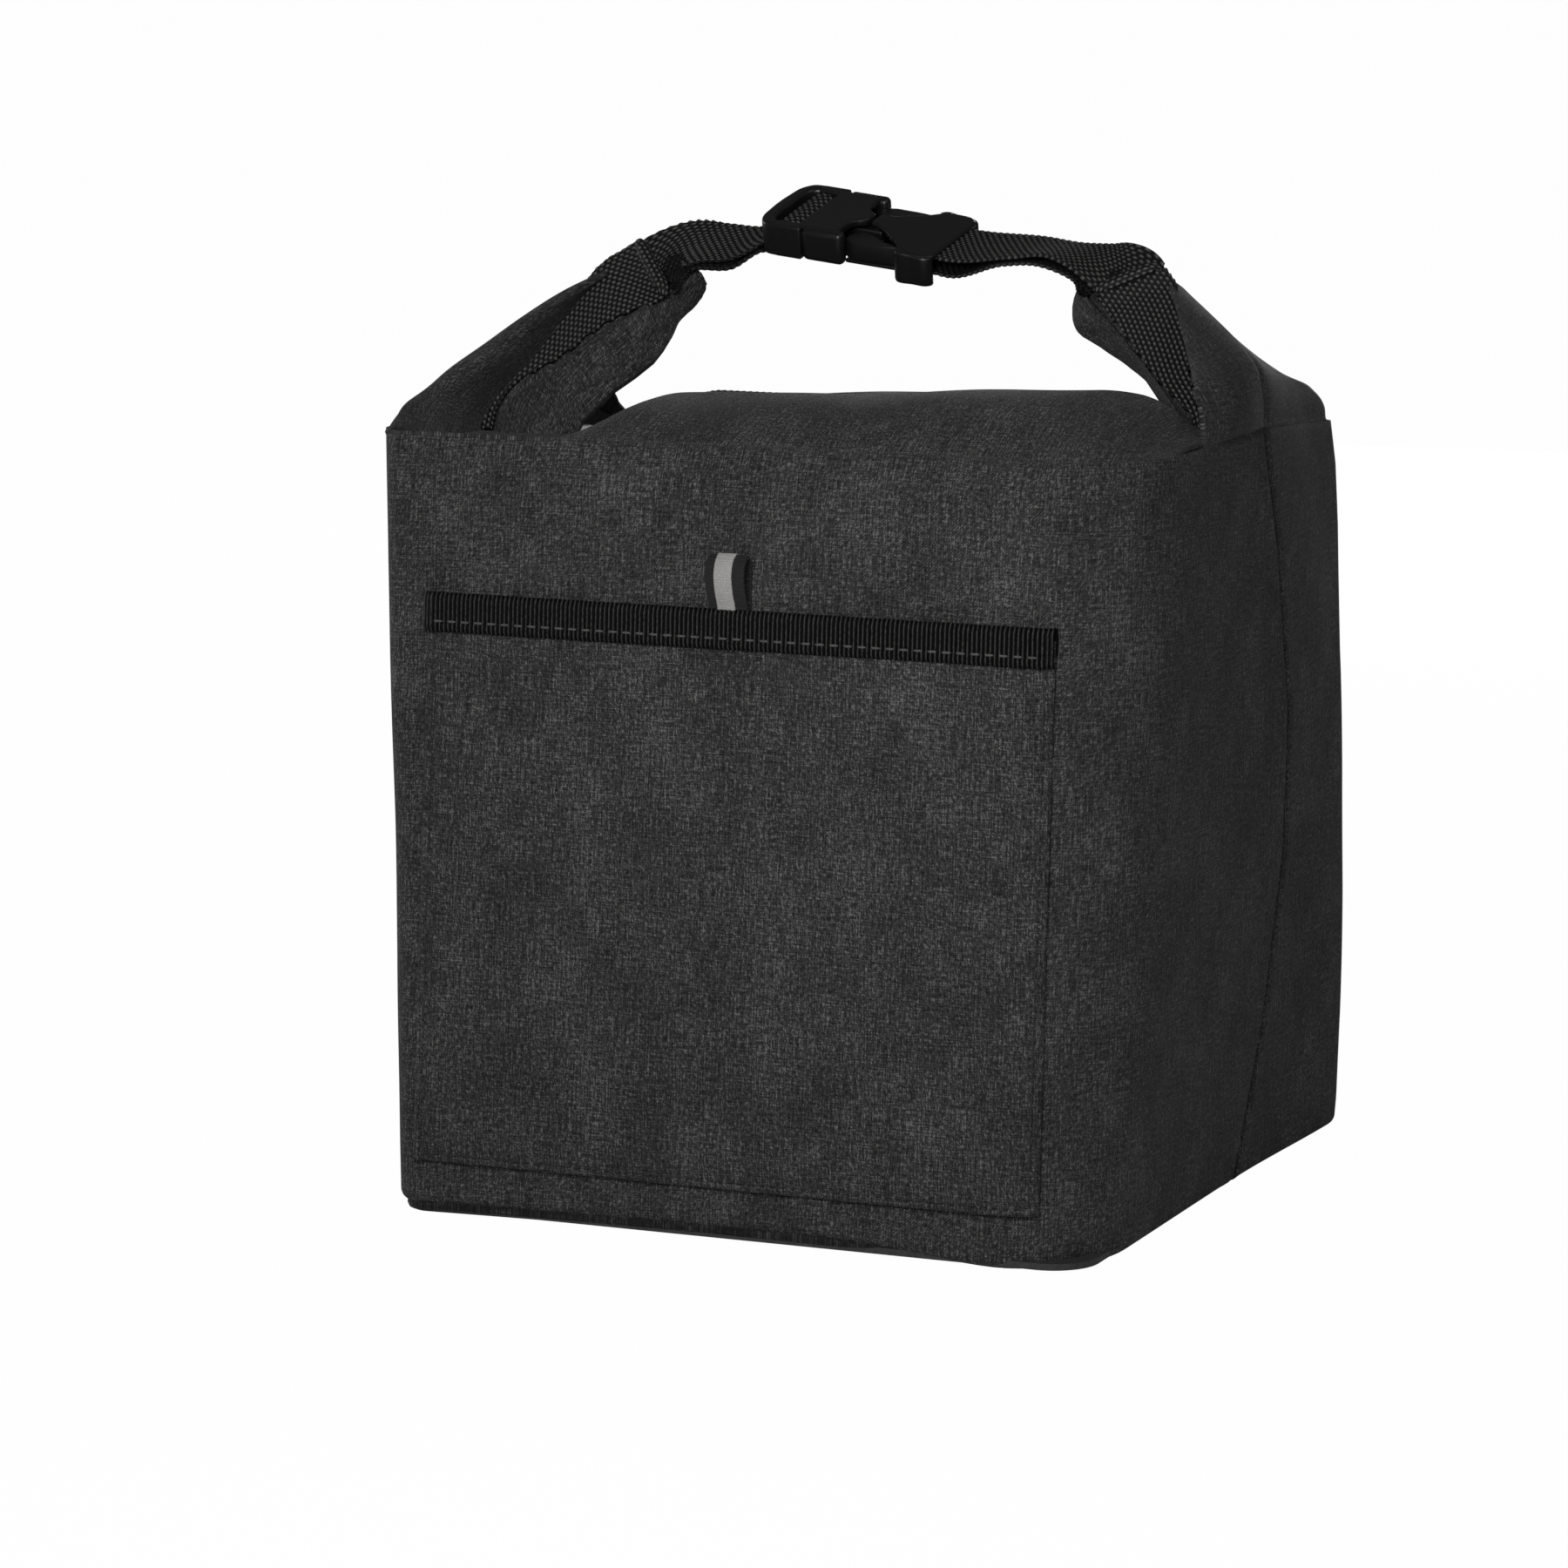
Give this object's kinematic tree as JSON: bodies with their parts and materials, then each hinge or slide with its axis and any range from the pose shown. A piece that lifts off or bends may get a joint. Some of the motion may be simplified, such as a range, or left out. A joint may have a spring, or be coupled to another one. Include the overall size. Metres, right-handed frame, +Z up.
{
  "type": "insulated roll-top lunch bag",
  "caption": "Soft insulated lunch bag with a roll-top mouth, front slip pocket and a webbing carry handle closed by a side-release buckle.",
  "frame": {"origin": "middle of the underside, on the surface that the bag stands on", "axes": "+Z up, the pocket side faces -Y, +X to the right seen from the pocket side"},
  "size_m": [0.246, 0.2416, 0.3095],
  "materials": {
    "charcoal_fabric": "heathered polyester twill, matt",
    "base_fabric": "plain woven polyester, matt",
    "foam": "closed-cell foam",
    "lining": "smooth coated lining, silver grey",
    "stiffener": "plain sheet",
    "ribbed_tape": "ribbed tape",
    "reflective_tape": "pale grey reflective tape",
    "webbing": "basket-weave webbing",
    "buckle_plastic": "moulded, satin"
  },
  "bodies": {
    "bag": {"front_panel": "charcoal_fabric", "back_panel": "charcoal_fabric", "bottom_panel": "base_fabric", "base_board": "stiffener", "foam_base": "foam", "foam_front": "foam", "foam_right": "foam", "foam_back": "foam", "foam_left": "foam", "liner": "lining", "front_pocket": "charcoal_fabric", "pocket_binding": "ribbed_tape", "pull_loop": "ribbed_tape", "reflective_strip": "reflective_tape"},
    "front_flap": {"front_flap": "charcoal_fabric", "front_flap_lining": "lining"},
    "back_flap": {"back_flap": "charcoal_fabric", "back_flap_lining": "lining", "rolled_mouth": "charcoal_fabric", "mouth_webbing": "webbing"},
    "left_arm": {"left_ear": "charcoal_fabric", "left_roll_end": "charcoal_fabric", "left_arm_webbing": "webbing"},
    "right_arm": {"right_ear": "charcoal_fabric", "right_roll_end": "charcoal_fabric", "right_arm_webbing": "webbing"},
    "left_strap": {"left_strap": "webbing", "buckle_socket": "buckle_plastic"},
    "right_strap": {"right_strap": "webbing", "buckle_plug": "buckle_plastic"},
    "front_prong": {"front_prong": "buckle_plastic"},
    "rear_prong": {"rear_prong": "buckle_plastic"}
  },
  "joints": [
    {"name": "roll_top_open", "type": "hinge", "parent": "bag", "child": "back_flap", "pos_m": [0, 0.0991, 0.23315], "axis": [-1, 0, 0], "range_deg": [0, 95]},
    {"name": "front_flap_open", "type": "hinge", "parent": "bag", "child": "front_flap", "pos_m": [0, -0.0991, 0.24015], "axis": [1, 0, 0], "range_deg": [0, 96]},
    {"name": "right_arm_open", "type": "hinge", "parent": "bag", "child": "right_arm", "pos_m": [0.1233, 0, 0.24015], "axis": [0, 1, 0], "range_deg": [0, 110]},
    {"name": "left_arm_open", "type": "hinge", "parent": "bag", "child": "left_arm", "pos_m": [-0.1233, 0, 0.24015], "axis": [0, -1, 0], "range_deg": [0, 110]},
    {"name": "right_strap_unfold", "type": "hinge", "parent": "right_arm", "child": "right_strap", "pos_m": [0.08, 0.00642, 0.28825], "axis": [0, 0.749, -0.6626], "range_deg": [0, 58]},
    {"name": "left_strap_unfold", "type": "hinge", "parent": "left_arm", "child": "left_strap", "pos_m": [-0.08, 0.00642, 0.28825], "axis": [0, -0.749, 0.6626], "range_deg": [0, 58]},
    {"name": "front_prong_squeeze", "type": "hinge", "parent": "right_strap", "child": "front_prong", "pos_m": [0.00413, 0.00467, 0.29161], "axis": [-0.0689, 0.3012, -0.9511], "range_deg": [0, 6], "stiffness_Nm_per_rad": 0.05},
    {"name": "rear_prong_squeeze", "type": "hinge", "parent": "right_strap", "child": "rear_prong", "pos_m": [0.00728, 0.02761, 0.29865], "axis": [0.0689, -0.3012, 0.9511], "range_deg": [0, 6], "stiffness_Nm_per_rad": 0.05}
  ],
  "couplings": [
    {"joint": "front_flap_open", "follows": "roll_top_open", "ratio": 1},
    {"joint": "right_arm_open", "follows": "roll_top_open", "ratio": 1.15},
    {"joint": "left_arm_open", "follows": "roll_top_open", "ratio": 1.15},
    {"joint": "right_strap_unfold", "follows": "roll_top_open", "ratio": 0.6},
    {"joint": "left_strap_unfold", "follows": "roll_top_open", "ratio": 0.6},
    {"joint": "rear_prong_squeeze", "follows": "front_prong_squeeze", "ratio": 1}
  ]
}
